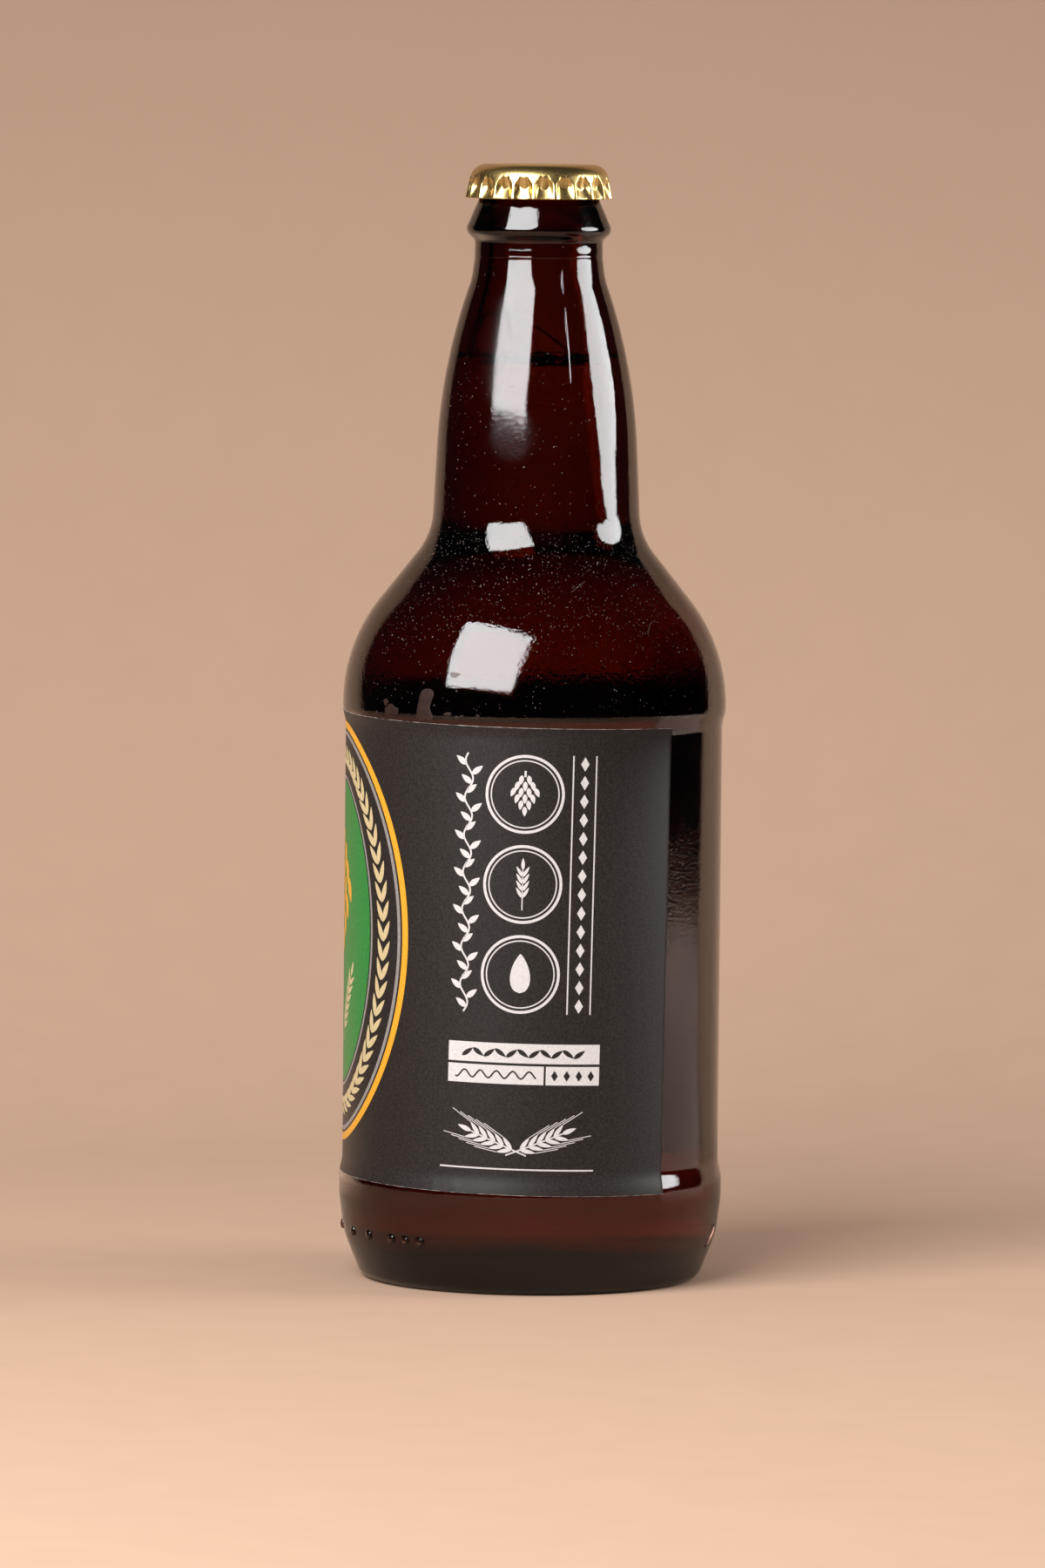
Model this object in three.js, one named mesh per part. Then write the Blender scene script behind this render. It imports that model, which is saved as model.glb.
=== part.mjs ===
// A full, capped beer bottle: the glass, the beer in it, a fluted crown cap and a paper label that wraps
// most of the way round. Millimetres, +Z up. The origin is the middle of the base, on the plane that the
// bottle stands on, and the middle of the label faces -Y.
import * as THREE from "three";

// Heights above the base
const MOUTH_Z = 217; // rim of the glass, under the cap
const LIP_FOOT_Z = 213.6; // underside of the lip that the cap grips
const THROAT_Z = 211.3; // groove below the lip
const BEAD_Z = 205; // corner of the bead below the cap
const BEAD_FOOT_Z = 203.15;
const COLLAR_Z = 199.7; // foot of the straight collar
const COLLAR_FOOT_Z = 195.6; // the neck's taper eases off towards the collar
const FILL_Z = 179.5; // level of the beer
const NECK_BEND_Z = 178.85; // the neck's taper meets its nearly straight stretch
const NECK_FOOT_Z = 145.7; // the neck meets the shoulder
const SHOULDER_Z = 124.15; // the shoulder meets the body
const PANEL_TOP_Z = 109.2;
const UPPER_BAND_Z = 111.6; // the panel's edge comes out to the band above it
const PANEL_FOOT_Z = 23.4;
const LOWER_BAND_Z = 20.1; // top of the band below the panel
const HEEL_Z = 16.5; // the lower band meets the inward curve to the base
const HEEL_BEND_Z = 9; // bend half way up the heel

// Radii of the glass, outside and inside
const BODY_R = 37.5; // bands above and below the label
const PANEL_R = 36.8; // label panel, set back between the bands
const FOOT_R = 33; // corner of the heel at the base
const HEEL_R = 36.6;
const RING_R = 28; // inner edge of the ring that the bottle stands on
const NECK_FOOT_R = 20.4;
const NECK_BEND_R = 18.85;
const COLLAR_FOOT_R = 13.05;
const COLLAR_R = 12.5;
const BEAD_R = 14.42; // corner of the bead before it is rounded
const THROAT_R = 11.7;
const LIP_R = 12.9;
const BORE_R = 8.3;
const WALL = 2.85; // wall of the body
const NECK_WALL = 3.2; // wall of the neck
const FLOOR_Z = 6.5; // inside of the base, at its edge
const PUNT = 3.5; // how far the base is pushed up in the middle

// Corners of the inside, a little below those of the outside
const BORE_TOP_Z = 215; // the rounding of the rim ends
const BORE_FOOT_Z = 200.2; // the straight bore opens into the neck
const INNER_BEND_Z = 177.85;
const INNER_NECK_FOOT_Z = 145;
const INNER_SHOULDER_Z = 122.55;

const BEER_GAP = 0.3; // between the beer's solid and the glass
const BEER_TOP_INSET = 0.6; // clears the rounding of the glass beside the beer's top edge

// Crown cap
const CAP_TOP_Z = 218;
const CAP_RIM_Z = 211.4;
const CAP_EDGE_R = 12.95; // corner of the top before it is rounded
const CAP_RIM_R = 14.36; // over the ridges
const CAP_ROUND = 3.2; // rounding from the top to the skirt
const CAP_SHEET = 0.3;
const FLUTES = 21;
const FLUTE_DEPTH = 0.85; // at the crease
const FLUTE_TOP_Z = 215.5; // where the flutes fade out
const CREASE_Z = 212.75; // the flutes are deepest here, and open out again to the rim
const RIM_OPENING = 0.45; // share of their depth that the flutes lose again at the rim
const RIDGE_SHARPNESS = 3; // higher makes the ridges narrower and the flutes wider
const FIRST_RIDGE = THREE.MathUtils.degToRad(12.4); // angle of a ridge from the label's middle

// Paper label
const LABEL_LENGTH = 168; // round the bottle
const LABEL_HEIGHT = 90.4;
const LABEL_SHEET = 0.2;
const LABEL_GAP = 0.18; // glue line between the paper and the glass
const LABEL_MID_Z = 66.2; // height of the label's middle
const LABEL_TILT = THREE.MathUtils.degToRad(1.05); // it was stuck on a little crooked
const LABEL_COLUMNS = 28;
const LABEL_ROWS = 17;

// Facets
const BOTTLE_FACETS = 48; // round the bottle
const FACETS_A_FLUTE = 4;
const OUTSIDE_CHORD = 0.08; // how far the facets of an arc may stray from it
const INSIDE_CHORD = 0.2;

/** An outline through corners [r, z, fillet], with each corner rounded to its fillet's radius. */
function roundedOutline(corners, chord) {
  const points = corners.map(([r, z]) => new THREE.Vector2(r, z));
  const outline = [points[0]];
  for (let i = 1; i < points.length - 1; i++) {
    const corner = points[i];
    const fillet = corners[i][2];
    const before = points[i - 1].clone().sub(corner).normalize();
    const after = points[i + 1].clone().sub(corner).normalize();
    const turn = Math.PI - before.angleTo(after);
    const way = -Math.sign(before.cross(after));
    const start = before.clone().multiplyScalar(fillet * Math.tan(turn / 2)).add(corner);
    const centre = before.clone().add(after).setLength(fillet / Math.cos(turn / 2)).add(corner);
    const steps = Math.max(1, Math.ceil(turn / (2 * Math.acos(1 - chord / fillet))));
    for (let k = 0; k <= steps; k++)
      outline.push(start.clone().rotateAround(centre, (way * turn * k) / steps));
  }
  outline.push(points.at(-1));
  return outline;
}

/** A solid of revolution about Z, with its first facet's edge at an angle from -Y towards +X. */
function turned(outline, facets, startAngle = 0) {
  return new THREE.LatheGeometry(outline, facets, startAngle).rotateX(Math.PI / 2);
}

/** The radius of an outline at a height, where the outline rises all the way. */
function radiusAt(outline, z) {
  const i = Math.max(1, outline.findIndex((p) => p.y >= z));
  const [low, high] = [outline[i - 1], outline[i]];
  return THREE.MathUtils.mapLinear(z, low.y, high.y, low.x, high.x);
}

function solid(name, geometry, finish) {
  const mesh = new THREE.Mesh(geometry, new THREE.MeshStandardMaterial(finish));
  mesh.name = name;
  return mesh;
}

// Outside of the glass from the base to the groove under the cap
const wallCorners = [
  [FOOT_R, 0, 3],
  [HEEL_R, HEEL_BEND_Z, 18],
  [BODY_R, HEEL_Z, 8],
  [BODY_R, LOWER_BAND_Z, 8],
  [PANEL_R, PANEL_FOOT_Z, 8],
  [PANEL_R, PANEL_TOP_Z, 7],
  [BODY_R, UPPER_BAND_Z, 7],
  [BODY_R, SHOULDER_Z, 33],
  [NECK_FOOT_R, NECK_FOOT_Z, 13.5],
  [NECK_BEND_R, NECK_BEND_Z, 112],
  [COLLAR_FOOT_R, COLLAR_FOOT_Z, 14],
  [COLLAR_R, COLLAR_Z, 3],
  [COLLAR_R, BEAD_FOOT_Z, 0.8],
  [BEAD_R, BEAD_Z, 1.7],
  [THROAT_R, THROAT_Z, 1.2],
];
const baseCorners = [
  [0, PUNT],
  [0.8 * RING_R, 0.8 * PUNT, 10],
  [RING_R, 0, 1.2],
];
const lipCorners = [
  [THROAT_R, LIP_FOOT_Z - 1, 0.5],
  [LIP_R, LIP_FOOT_Z, 0.5],
  [LIP_R, MOUTH_Z, 2],
  [BORE_R, MOUTH_Z, 1.2],
];

const INNER_BEND_R = NECK_BEND_R - NECK_WALL;

/** The inside of the glass below the bore, drawn in by a gap, from the top down to the axis. */
function insideCorners(gap) {
  return [
    [INNER_BEND_R - gap, INNER_BEND_Z, 90],
    [NECK_FOOT_R - NECK_WALL - gap, INNER_NECK_FOOT_Z, 16],
    [BODY_R - WALL - gap, INNER_SHOULDER_Z, 30],
    [BODY_R - WALL - gap, FLOOR_Z + gap, 9],
    [0, FLOOR_Z + PUNT + gap],
  ];
}

const glassOutline = roundedOutline([...baseCorners, ...wallCorners, ...lipCorners], OUTSIDE_CHORD);
const boreCorners = [
  [BORE_R, BORE_TOP_Z],
  [BORE_R, BORE_FOOT_Z, 30],
  ...insideCorners(0),
];
const boreOutline = roundedOutline(boreCorners, INSIDE_CHORD);
const glass = solid("glass_bottle", turned([...glassOutline.slice(0, -1), ...boreOutline], BOTTLE_FACETS), {
  color: 0x3a130c,
  roughness: 0.06,
  metalness: 0,
  transparent: true,
  opacity: 0.6,
});

// The beer stands in the neck, so its top edge lies on the line of the neck's taper.
const taperR = THREE.MathUtils.mapLinear(FILL_Z, INNER_BEND_Z, BORE_FOOT_Z, INNER_BEND_R, BORE_R);
const beerTopR = taperR - BEER_GAP - BEER_TOP_INSET;
const beerFoot = insideCorners(BEER_GAP).slice(1);
const beerOutline = roundedOutline([[beerTopR, FILL_Z], ...beerFoot], INSIDE_CHORD);
const beerSection = [...beerOutline.reverse(), new THREE.Vector2(0, FILL_Z)];
const beer = solid("beer", turned(beerSection, BOTTLE_FACETS), {
  color: 0x5a1a06,
  roughness: 0.05,
  metalness: 0,
});

/** How far the cap's sheet is pressed in at an angle and a height: nothing on a ridge, most in a flute. */
function fluteDepth(angle, z) {
  const toCrease = (FLUTE_TOP_Z - z) / (FLUTE_TOP_Z - CREASE_Z);
  const toRim = (CREASE_Z - z) / (CREASE_Z - CAP_RIM_Z);
  const ridge = Math.abs(Math.cos((FLUTES * (angle - FIRST_RIDGE)) / 2)) ** RIDGE_SHARPNESS;
  return FLUTE_DEPTH * (z > CREASE_Z ? toCrease : 1 - RIM_OPENING * toRim) * (1 - ridge);
}

function crownCap() {
  const sheetCorners = (inset) => [
    [0, CAP_TOP_Z - inset],
    [CAP_EDGE_R - inset, CAP_TOP_Z - inset, CAP_ROUND - inset],
    [CAP_RIM_R - inset, CAP_RIM_Z],
  ];
  const outer = roundedOutline(sheetCorners(0), OUTSIDE_CHORD);
  const inner = roundedOutline(sheetCorners(CAP_SHEET), INSIDE_CHORD);
  // The skirt is split into rows, one of them at the crease of the flutes.
  const skirtRows = 3;
  const skirt = (outline) => {
    const [top, rim] = outline.slice(-2);
    const rows = Array.from({ length: skirtRows }, (_, k) => top.clone().lerp(rim, (k + 1) / skirtRows));
    return [...outline.slice(0, -1), ...rows];
  };
  const outline = [...skirt(inner), ...skirt(outer).reverse()];
  const geometry = turned(outline, FLUTES * FACETS_A_FLUTE, FIRST_RIDGE);
  const position = geometry.getAttribute("position");
  const point = new THREE.Vector3();
  for (let i = 0; i < position.count; i++) {
    point.fromBufferAttribute(position, i);
    if (point.z > FLUTE_TOP_Z) continue;
    const radius = Math.hypot(point.x, point.y);
    const pressed = (radius - fluteDepth(Math.atan2(point.x, -point.y), point.z)) / radius;
    position.setXYZ(i, point.x * pressed, point.y * pressed, point.z);
  }
  return solid("crown_cap", geometry, { color: 0xb98a4e, roughness: 0.3, metalness: 1 });
}

/** A flat sheet, turned by its tilt and bent round the glass so that it follows the panel and the bands. */
function wrapLabel() {
  const wall = roundedOutline([[RING_R, 0], ...wallCorners, [THROAT_R, MOUTH_Z]], OUTSIDE_CHORD);
  const sheet = new THREE.BoxGeometry(LABEL_LENGTH, LABEL_SHEET, 2, LABEL_COLUMNS, 1, LABEL_ROWS);
  const position = sheet.getAttribute("position");
  const point = new THREE.Vector3();
  for (let i = 0; i < position.count; i++) {
    point.fromBufferAttribute(position, i);
    // Rows crowd towards the two long edges, where the sheet rides up onto the bands.
    const across = (LABEL_HEIGHT / 2) * Math.sin((point.z * Math.PI) / 2);
    const along = point.x * Math.cos(LABEL_TILT) + across * Math.sin(LABEL_TILT);
    const z = LABEL_MID_Z - point.x * Math.sin(LABEL_TILT) + across * Math.cos(LABEL_TILT);
    const angle = along / (PANEL_R + LABEL_GAP);
    const radius = radiusAt(wall, z) + LABEL_GAP + LABEL_SHEET / 2 - point.y;
    position.setXYZ(i, radius * Math.sin(angle), -radius * Math.cos(angle), z);
  }
  return solid("label", sheet, { color: 0x3a302c, roughness: 0.55, metalness: 0 });
}

const bottle = new THREE.Group();
bottle.add(glass, beer, crownCap(), wrapLabel());

export default bottle;
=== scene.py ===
"""A full, capped beer bottle of amber glass with a black paper label, on a pale studio sweep."""

import math

import bpy
import numpy as np
from mathutils import Matrix, Vector


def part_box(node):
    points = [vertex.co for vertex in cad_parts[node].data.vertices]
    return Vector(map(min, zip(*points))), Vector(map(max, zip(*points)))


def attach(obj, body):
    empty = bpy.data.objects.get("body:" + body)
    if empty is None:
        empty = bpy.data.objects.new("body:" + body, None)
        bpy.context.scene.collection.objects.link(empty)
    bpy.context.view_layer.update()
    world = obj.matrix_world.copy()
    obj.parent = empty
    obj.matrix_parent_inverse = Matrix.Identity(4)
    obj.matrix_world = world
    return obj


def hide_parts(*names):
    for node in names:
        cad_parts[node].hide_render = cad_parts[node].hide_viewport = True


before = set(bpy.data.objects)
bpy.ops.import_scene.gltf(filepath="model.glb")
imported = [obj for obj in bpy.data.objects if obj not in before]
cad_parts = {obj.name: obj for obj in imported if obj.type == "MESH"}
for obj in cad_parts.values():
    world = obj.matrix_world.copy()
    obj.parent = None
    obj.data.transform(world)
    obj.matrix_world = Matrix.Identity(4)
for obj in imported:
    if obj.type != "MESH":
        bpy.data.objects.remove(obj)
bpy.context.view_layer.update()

MM = 0.001  # sizes are in millimetres up to the meshes, which are in metres

# Heights and radii of the glass, in millimetres, from the frame where a box gives them
glass_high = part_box("glass_bottle")[1]
cap_low, cap_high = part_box("crown_cap")
BODY_R = glass_high.x / MM  # bands above and below the label
MOUTH_Z = glass_high.z / MM
FILL_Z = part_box("beer")[1].z / MM
CAP_TOP_Z = cap_high.z / MM
CAP_RIM_Z = cap_low.z / MM
LIP_FOOT_Z = 213.6
THROAT_Z = 211.3
BEAD_Z = 205.0
BEAD_FOOT_Z = 203.15
PARTING_Z = 200.1  # fine ridge where the neck ring met the mould
COLLAR_Z = 199.7
COLLAR_FOOT_Z = 195.6
NECK_BEND_Z = 178.85
NECK_FOOT_Z = 145.7
SHOULDER_Z = 124.15
UPPER_BAND_Z = 111.6
PANEL_TOP_Z = 109.2
PANEL_FOOT_Z = 23.4
LOWER_BAND_Z = 20.1
HEEL_Z = 16.5
HEEL_BEND_Z = 9
PANEL_R = 36.8
HEEL_R = 36.6
FOOT_R = 33
RING_R = 28
NECK_FOOT_R = 20.4
NECK_BEND_R = 18.85
COLLAR_FOOT_R = 13.05
COLLAR_R = 12.5
BEAD_R = 14.42  # corner of the bead before it is rounded
THROAT_R = 11.7
LIP_R = 12.7  # a little less than the solid's, clear of the flutes
BORE_R = 9
WALL = 2.85
NECK_WALL = 3.2
FLOOR_Z = 6.3
PUNT = 3.5
BORE_TOP_Z = 215  # corners of the inside, a little below those of the outside
BORE_FOOT_Z = 197.4
INNER_BEND_Z = 177.85
INNER_NECK_FOOT_Z = 143.6
INNER_SHOULDER_Z = 123.6

PHOTO_AZIMUTH = math.radians(85.5)  # the camera's, from the label's middle towards +X
SEAM_ANGLES = PHOTO_AZIMUTH + np.radians([20, 200])  # the two halves of the mould met here
rng = np.random.default_rng(7)


# Shader and mesh tools


def linear(hex_colour):
    """An sRGB hex colour as linear RGBA."""
    parts = [int(hex_colour[i : i + 2], 16) / 255 for i in (1, 3, 5)]
    return [p / 12.92 if p <= 0.04045 else ((p + 0.055) / 1.055) ** 2.4 for p in parts] + [1.0]


def add_node(tree, kind, inputs=None, settings=None):
    """Adds a node, sets its properties, and sets each input to a value or links it to a socket."""
    made = tree.nodes.new(kind)
    for name, value in (settings or {}).items():
        setattr(made, name, value)
    for name, value in (inputs or {}).items():
        if isinstance(value, bpy.types.NodeSocket):
            tree.links.new(value, made.inputs[name])
        else:
            made.inputs[name].default_value = value
    return made


def new_material(name):
    """A material with an empty node tree, as (material, tree, object coordinates in metres)."""
    material = bpy.data.materials.new(name)
    material.use_nodes = True
    tree = material.node_tree
    tree.nodes.clear()
    place = add_node(tree, "ShaderNodeTexCoord").outputs["Object"]
    return material, tree, place


def per_mm(size):
    """The scale of a texture whose features are that many millimetres across."""
    return 1 / (size * MM)


def add_mesh(name, points, faces, materials):
    """A smooth-shaded object from points in millimetres."""
    mesh = bpy.data.meshes.new(name)
    mesh.from_pydata((np.asarray(points) * MM).tolist(), [], faces)
    for material in materials:
        mesh.materials.append(material)
    mesh.polygons.foreach_set("use_smooth", [True] * len(mesh.polygons))
    mesh.update()
    made = bpy.data.objects.new(name, mesh)
    bpy.context.scene.collection.objects.link(made)
    return made


def add_piece(name, shape, materials, replaced=None):
    """A piece of the bottle from a shape of points and faces."""
    piece = add_mesh(name, *shape, materials)
    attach(piece, "root")
    if replaced:
        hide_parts(replaced)
    return piece


def joined(shapes):
    """Several shapes of points and faces as one."""
    points, faces, count = [], [], 0
    for shape_points, shape_faces in shapes:
        points.append(shape_points)
        faces += [tuple(i + count for i in face) for face in shape_faces]
        count += len(shape_points)
    return np.concatenate(points), faces


def unit(vectors):
    """A vector, or rows of vectors, of length 1."""
    return vectors / np.linalg.norm(vectors, axis=-1, keepdims=True)


ARC_STEP = math.radians(2.5)  # arcs are split at least this finely
TINY = 1e-6
TURNED_OVER = [0, 3, 2, 1]  # the order of corners that turns a face over


def rounded_outline(corners, step):
    """An outline through corners (r, z, fillet), rounded at each fillet, with points at most a step apart."""
    points = [np.array(corner[:2], float) for corner in corners]
    outline = [points[0]]

    def run_to(point):
        start = outline[-1]
        gap = np.linalg.norm(point - start)
        if gap < TINY:
            return
        count = math.ceil(gap / step)
        for k in range(1, count + 1):
            outline.append(start + (point - start) * k / count)

    for i in range(1, len(points) - 1):
        corner = points[i]
        fillet = corners[i][2]
        back = unit(points[i - 1] - corner)
        ahead = unit(points[i + 1] - corner)
        turn = math.pi - math.acos(np.clip(back @ ahead, -1, 1))
        centre = corner + unit(back + ahead) * fillet / math.cos(turn / 2)
        way = -np.sign(back[0] * ahead[1] - back[1] * ahead[0])
        run_to(corner + back * fillet * math.tan(turn / 2))
        arm = outline[-1] - centre
        count = max(2, math.ceil(turn * fillet / step), math.ceil(turn / ARC_STEP))
        for k in range(1, count + 1):
            a = way * turn * k / count
            cos_a, sin_a = math.cos(a), math.sin(a)
            turned_arm = (arm[0] * cos_a - arm[1] * sin_a, arm[0] * sin_a + arm[1] * cos_a)
            outline.append(centre + turned_arm)
    run_to(points[-1])
    return np.array(outline)


def round_points(radius, angle, z):
    """Points at a radius and an angle from -Y towards +X."""
    radius, angle, z = np.broadcast_arrays(radius, angle, z)
    return np.stack([radius * np.sin(angle), -radius * np.cos(angle), z], -1)


def full_turn(count):
    """Angles evenly all the way round."""
    return np.arange(count) * 2 * math.pi / count


def grid_faces(rows, count, closed):
    """The faces between rows of points. Closed rows end where they start."""
    across = np.arange(count if closed else count - 1)
    first = np.arange(rows - 1)[:, None] * count
    i, j = first + across, first + (across + 1) % count
    return np.stack([i, j, j + count, i + count], -1).reshape(-1, 4)


def turned(outline, angles, radius_at):
    """An outline (r, z) turned round the axis. radius_at gives the radius at an angle, radius and height."""
    on_axis = outline[:, 0] < TINY
    rings = outline[~on_axis]
    count = len(angles)
    r, z = rings[:, :1], rings[:, 1:]
    points = round_points(radius_at(angles[None, :], r, z), angles[None, :], z).reshape(-1, 3)
    faces = grid_faces(len(rings), count, True).tolist()
    for end, first in ((0, 0), (-1, (len(rings) - 1) * count)):
        if not on_axis[end]:
            continue
        pole = len(points)
        points = np.vstack([points, [0, 0, outline[end, 1]]])
        for j in range(count):
            a, b = first + j, first + (j + 1) % count
            faces.append((pole, b, a) if end == 0 else (pole, a, b))
    return points, faces


def even_radius(angle, r, z):
    """The radius of what is round all the way."""
    return r + 0 * angle


def tube(line, radius, sides=6):
    """A round thread along a line of points, closed at both ends."""
    slanting = [0.31, 0.17, 0.93]  # no thread here runs this way
    line = np.asarray(line, float)
    ahead = unit(np.gradient(line, axis=0))
    side = unit(np.cross(ahead, slanting))
    up = np.cross(side, ahead)
    turn = full_turn(sides)
    ring = side[:, None] * np.cos(turn)[:, None] + up[:, None] * np.sin(turn)[:, None]
    points = (line[:, None] + radius * ring).reshape(-1, 3)
    faces = grid_faces(len(line), sides, True)[:, TURNED_OVER].tolist()
    faces.append(list(range(sides)))
    faces.append(list(range(len(points) - 1, len(points) - sides - 1, -1)))
    return points, faces


# Materials


def mottled(tree, place, size, detail, colours):
    """Noise of a size in millimetres, and a colour that wanders between two with it, as sockets."""
    noise = add_node(tree, "ShaderNodeTexNoise", {"Vector": place, "Scale": per_mm(size), "Detail": detail})
    tint = add_node(
        tree,
        "ShaderNodeMix",
        {"Factor": noise.outputs["Fac"], "A": linear(colours[0]), "B": linear(colours[1])},
        {"data_type": "RGBA"},
    )
    return noise.outputs["Fac"], tint.outputs["Result"]


def soft_spot(tree, place, middle, reach, core, strength):
    """A round spot as a socket: a strength in its core, a share of its reach, that falls to 0 at its edge."""
    spot = {"Vector": place, "Location": middle, "Scale": reach}
    offset = add_node(tree, "ShaderNodeMapping", spot, {"vector_type": "TEXTURE"}).outputs["Vector"]
    distance = add_node(tree, "ShaderNodeVectorMath", {0: offset}, {"operation": "LENGTH"})
    softened = add_node(
        tree,
        "ShaderNodeMapRange",
        {"Value": distance.outputs["Value"], "From Min": 1.0, "From Max": core, "To Max": strength},
        {"interpolation_type": "SMOOTHSTEP"},
    )
    return softened.outputs["Result"]


def clear_body(tree, skin, tint, density):
    """Ends a clear material, with these inputs of its surface and a tint that deepens with its depth."""
    clear = {"Base Color": linear("#ffffff"), "Transmission Weight": 1.0}
    surface = add_node(tree, "ShaderNodeBsdfPrincipled", clear | skin)
    colour = add_node(tree, "ShaderNodeVolumeAbsorption", {"Color": linear(tint), "Density": density})
    body = {"Surface": surface.outputs["BSDF"], "Volume": colour.outputs["Volume"]}
    add_node(tree, "ShaderNodeOutputMaterial", body)


def plain_body(tree, skin):
    """Ends a material without depth, with these inputs of its surface."""
    surface = add_node(tree, "ShaderNodeBsdfPrincipled", skin)
    add_node(tree, "ShaderNodeOutputMaterial", {"Surface": surface.outputs["BSDF"]})


POLISHED_ROUGHNESS = 0.03
SCUFF_CORE = 0.45
SCUFFS = (  # degrees right of the camera, radius and height of the middle, half sizes, added roughness
    (-30, 16.5, 183, 5.2, 20, 0.12),
    (-14, 18, 165.5, 8, 7, 0.12),
    (0, 0, 206, 24, 10, 0.05),
)


def amber_glass():
    """Amber container glass, blown in an iron mould and fire-polished. It is clear and hard-shiny, nearly
    black where it is thick and red-brown where light comes through, the mould leaves a faint orange peel on
    it, and handling dulls it in places."""
    material, tree, place = new_material("amber_container_glass")
    patches = add_node(tree, "ShaderNodeTexNoise", {"Vector": place, "Scale": per_mm(26), "Detail": 1.0})
    rough_patch = add_node(
        tree,
        "ShaderNodeMapRange",
        {"Value": patches.outputs["Fac"], "From Min": 0.42, "From Max": 0.6, "To Min": 0.4},
    )
    peel = add_node(tree, "ShaderNodeTexNoise", {"Vector": place, "Scale": per_mm(0.7), "Detail": 2.0})
    relief = add_node(
        tree,
        "ShaderNodeBump",
        {"Height": peel.outputs["Fac"], "Strength": rough_patch.outputs["Result"], "Distance": 0.03 * MM},
    )
    roughness = POLISHED_ROUGHNESS
    for degrees, r, z, half_across, half_high, added in SCUFFS:
        middle = round_points(r, PHOTO_AZIMUTH + math.radians(degrees), z) * MM
        reach = np.array([half_across, half_across, half_high]) * MM
        worn = soft_spot(tree, place, middle, reach, SCUFF_CORE, added)
        roughness = add_node(tree, "ShaderNodeMath", {0: roughness, 1: worn}).outputs["Value"]
    skin = {"Roughness": roughness, "IOR": 1.52, "Normal": relief.outputs["Normal"]}
    clear_body(tree, skin, "#d6a46a", 1400.0)
    return material


def pale_lager(name, tint, density):
    """Filtered pale lager. It is as clear as water, with an amber tint that deepens with its depth."""
    material, tree, _ = new_material(name)
    clear_body(tree, {"Roughness": 0.0, "IOR": 1.34}, tint, density)
    return material


def gold_tinplate():
    """Tinplate with a gold lacquer, rolled bright and pressed. It mirrors the room in yellow, a little
    softened by the lacquer, with fine rub marks."""
    material, tree, place = new_material("gold_lacquered_tinplate")
    _, tint = mottled(tree, place, 2.5, 4.0, ("#c6a967", "#d8bc7e"))
    rub = add_node(tree, "ShaderNodeTexNoise", {"Vector": place, "Scale": per_mm(0.35), "Detail": 3.0})
    height = rub.outputs["Fac"]
    haze = add_node(
        tree,
        "ShaderNodeMapRange",
        {"Value": height, "From Min": 0.3, "From Max": 0.75, "To Min": 0.27, "To Max": 0.35},
    )
    relief = add_node(tree, "ShaderNodeBump", {"Height": height, "Strength": 0.06, "Distance": 0.05 * MM})
    skin = {
        "Base Color": tint,
        "Metallic": 1.0,
        "Roughness": haze.outputs["Result"],
        "Normal": relief.outputs["Normal"],
    }
    plain_body(tree, skin)
    return material


SHEEN_SPREAD = 0.08  # how much the roughness of print varies


def printed_paper(name, ink, worn_ink, roughness, grain_size=0.45):
    """Coated label paper with a film of printing ink. It has a satin sheen and a fine grain of ink and paper,
    drawn coarser than the real fibres so that it shows."""
    material, tree, place = new_material(name)
    noise = {"Vector": place, "Scale": per_mm(grain_size), "Detail": 3.0}
    grain = add_node(tree, "ShaderNodeTexNoise", noise).outputs["Fac"]
    spots = add_node(tree, "ShaderNodeMapRange", {"Value": grain, "From Min": 0.35, "From Max": 0.72})
    tint = add_node(
        tree,
        "ShaderNodeMix",
        {"Factor": spots.outputs["Result"], "A": linear(ink), "B": linear(worn_ink)},
        {"data_type": "RGBA"},
    )
    sheen = add_node(
        tree,
        "ShaderNodeMapRange",
        {"Value": grain, "To Min": roughness - SHEEN_SPREAD, "To Max": roughness + SHEEN_SPREAD},
    )
    relief = add_node(tree, "ShaderNodeBump", {"Height": grain, "Strength": 0.09, "Distance": 0.06 * MM})
    skin = {
        "Base Color": tint.outputs["Result"],
        "Roughness": sheen.outputs["Result"],
        "Specular IOR Level": 0.22,
        "Normal": relief.outputs["Normal"],
    }
    plain_body(tree, skin)
    return material


def house_dust():
    """Settled house dust and lint, brownish grey and dull."""
    material, tree, place = new_material("house_dust")
    _, tint = mottled(tree, place, 2.0, 2.0, ("#463d38", "#6e635c"))
    plain_body(tree, {"Base Color": tint, "Roughness": 0.9})
    return material


def dried_glue():
    """Dried casein label glue, a thin brown film, dull and half clear, with a wrinkled skin."""
    material, tree, place = new_material("dried_label_glue")
    wrinkles, tint = mottled(tree, place, 1.1, 3.0, ("#2a1a15", "#4a352d"))
    relief = add_node(tree, "ShaderNodeBump", {"Height": wrinkles, "Strength": 0.5, "Distance": 0.12 * MM})
    skin = {
        "Base Color": tint,
        "Roughness": 0.55,
        "Specular IOR Level": 0.25,
        "Alpha": 0.38,
        "Normal": relief.outputs["Normal"],
    }
    plain_body(tree, skin)
    return material


# The glass


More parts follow.
